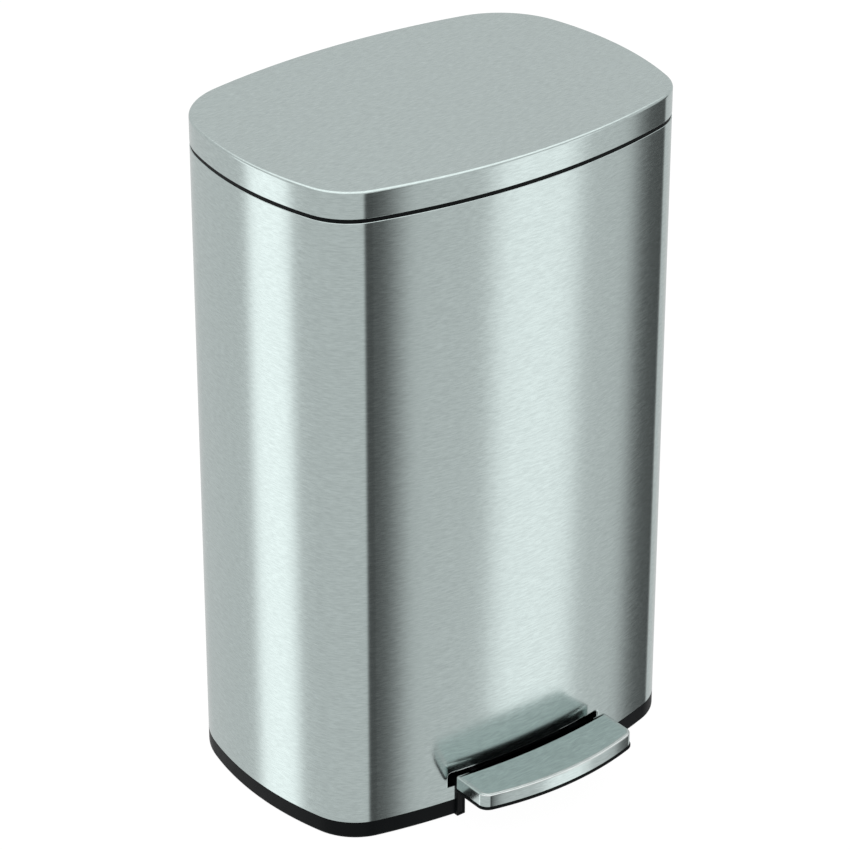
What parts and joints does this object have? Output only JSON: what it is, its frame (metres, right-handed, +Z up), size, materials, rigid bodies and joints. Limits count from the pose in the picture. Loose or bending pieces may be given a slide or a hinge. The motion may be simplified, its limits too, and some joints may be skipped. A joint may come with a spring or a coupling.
{
  "type": "pedal trash can",
  "caption": "Bulged rectangular step-on waste bin in brushed steel: a front pedal opens the hinged lid over a lift-out inner bucket.",
  "frame": {"origin": "floor under the middle of the bin, pedal and rear hinge included", "axes": "+X is to the right seen from the front, the pedal faces -Y, the hinge is at +Y and +Z is up"},
  "size_m": [0.417, 0.3714, 0.645],
  "materials": {
    "brushed_steel": "brushed stainless steel, grain round the body and along the lid",
    "bright_steel": "ground bright rod",
    "plated_steel": "zinc-plated",
    "black_paint": "black satin paint",
    "black_plastic": "fine moulded texture",
    "grey_plastic": "fine moulded texture",
    "black_rubber": "matt"
  },
  "bodies": {
    "can": {"body_shell": "brushed_steel", "base": "black_plastic", "top_rim": "black_plastic", "hinge_housing": "black_plastic", "deck": "black_plastic", "rod_cover": "black_plastic", "axle_bracket_left": "black_plastic", "axle_bracket_right": "black_plastic", "damper_cap": "black_plastic", "damper_clip": "black_plastic", "inner_bucket": "grey_plastic", "rod_guide_lower": "grey_plastic", "rod_guide_upper": "grey_plastic", "damper_cylinder": "grey_plastic", "foot_front_left": "black_rubber", "foot_front_right": "black_rubber", "foot_rear_left": "black_rubber", "foot_rear_right": "black_rubber", "hinge_pin": "bright_steel", "pedal_axle": "bright_steel", "axle_clip_left": "bright_steel", "axle_clip_right": "bright_steel", "housing_screw_left": "plated_steel", "housing_screw_right": "plated_steel", "bracket_screw_left": "plated_steel", "bracket_screw_right": "plated_steel"},
    "lid": {"lid_shell": "brushed_steel", "lid_liner": "black_plastic", "lid_hinge_bracket": "plated_steel", "lid_crank": "plated_steel", "crank_pin": "bright_steel", "crank_rivet_left": "plated_steel", "crank_rivet_right": "plated_steel", "hinge_screw_1": "plated_steel", "hinge_screw_2": "plated_steel", "hinge_screw_3": "plated_steel", "hinge_screw_4": "plated_steel", "lid_bumper_left": "black_rubber", "lid_bumper_right": "black_rubber"},
    "pedal": {"pedal_tread": "brushed_steel", "pedal_underside": "black_plastic", "pedal_lever": "black_paint", "pedal_screw_left": "plated_steel", "pedal_screw_right": "plated_steel"},
    "push_rod": {"push_rod": "bright_steel", "rod_foot": "black_plastic", "rod_top_clip": "plated_steel"},
    "damper": {"damper_piston": "black_rubber", "damper_rod": "bright_steel", "damper_foot": "black_plastic"}
  },
  "joints": [
    {"name": "lid_hinge", "type": "hinge", "parent": "can", "child": "lid", "pos_m": [0, 0.17475, 0.612], "axis": [-1, 0, 0], "range_deg": [0, 80]},
    {"name": "pedal_pivot", "type": "hinge", "parent": "can", "child": "pedal", "pos_m": [0, -0.00625, 0.036], "axis": [1, 0, 0], "range_deg": [0, 9]},
    {"name": "rod_slide", "type": "slide", "parent": "can", "child": "push_rod", "axis": [0, 0, 1], "range_m": [0, 0.0258]},
    {"name": "damper_slide", "type": "slide", "parent": "can", "child": "damper", "axis": [0, 0, 1], "range_m": [0, 0.0258]}
  ],
  "couplings": [
    {"joint": "pedal_pivot", "follows": "lid_hinge", "ratio": 0.1122},
    {"joint": "rod_slide", "follows": "lid_hinge", "m_per_rad": 0.018415},
    {"joint": "damper_slide", "follows": "lid_hinge", "m_per_rad": 0.018415}
  ]
}
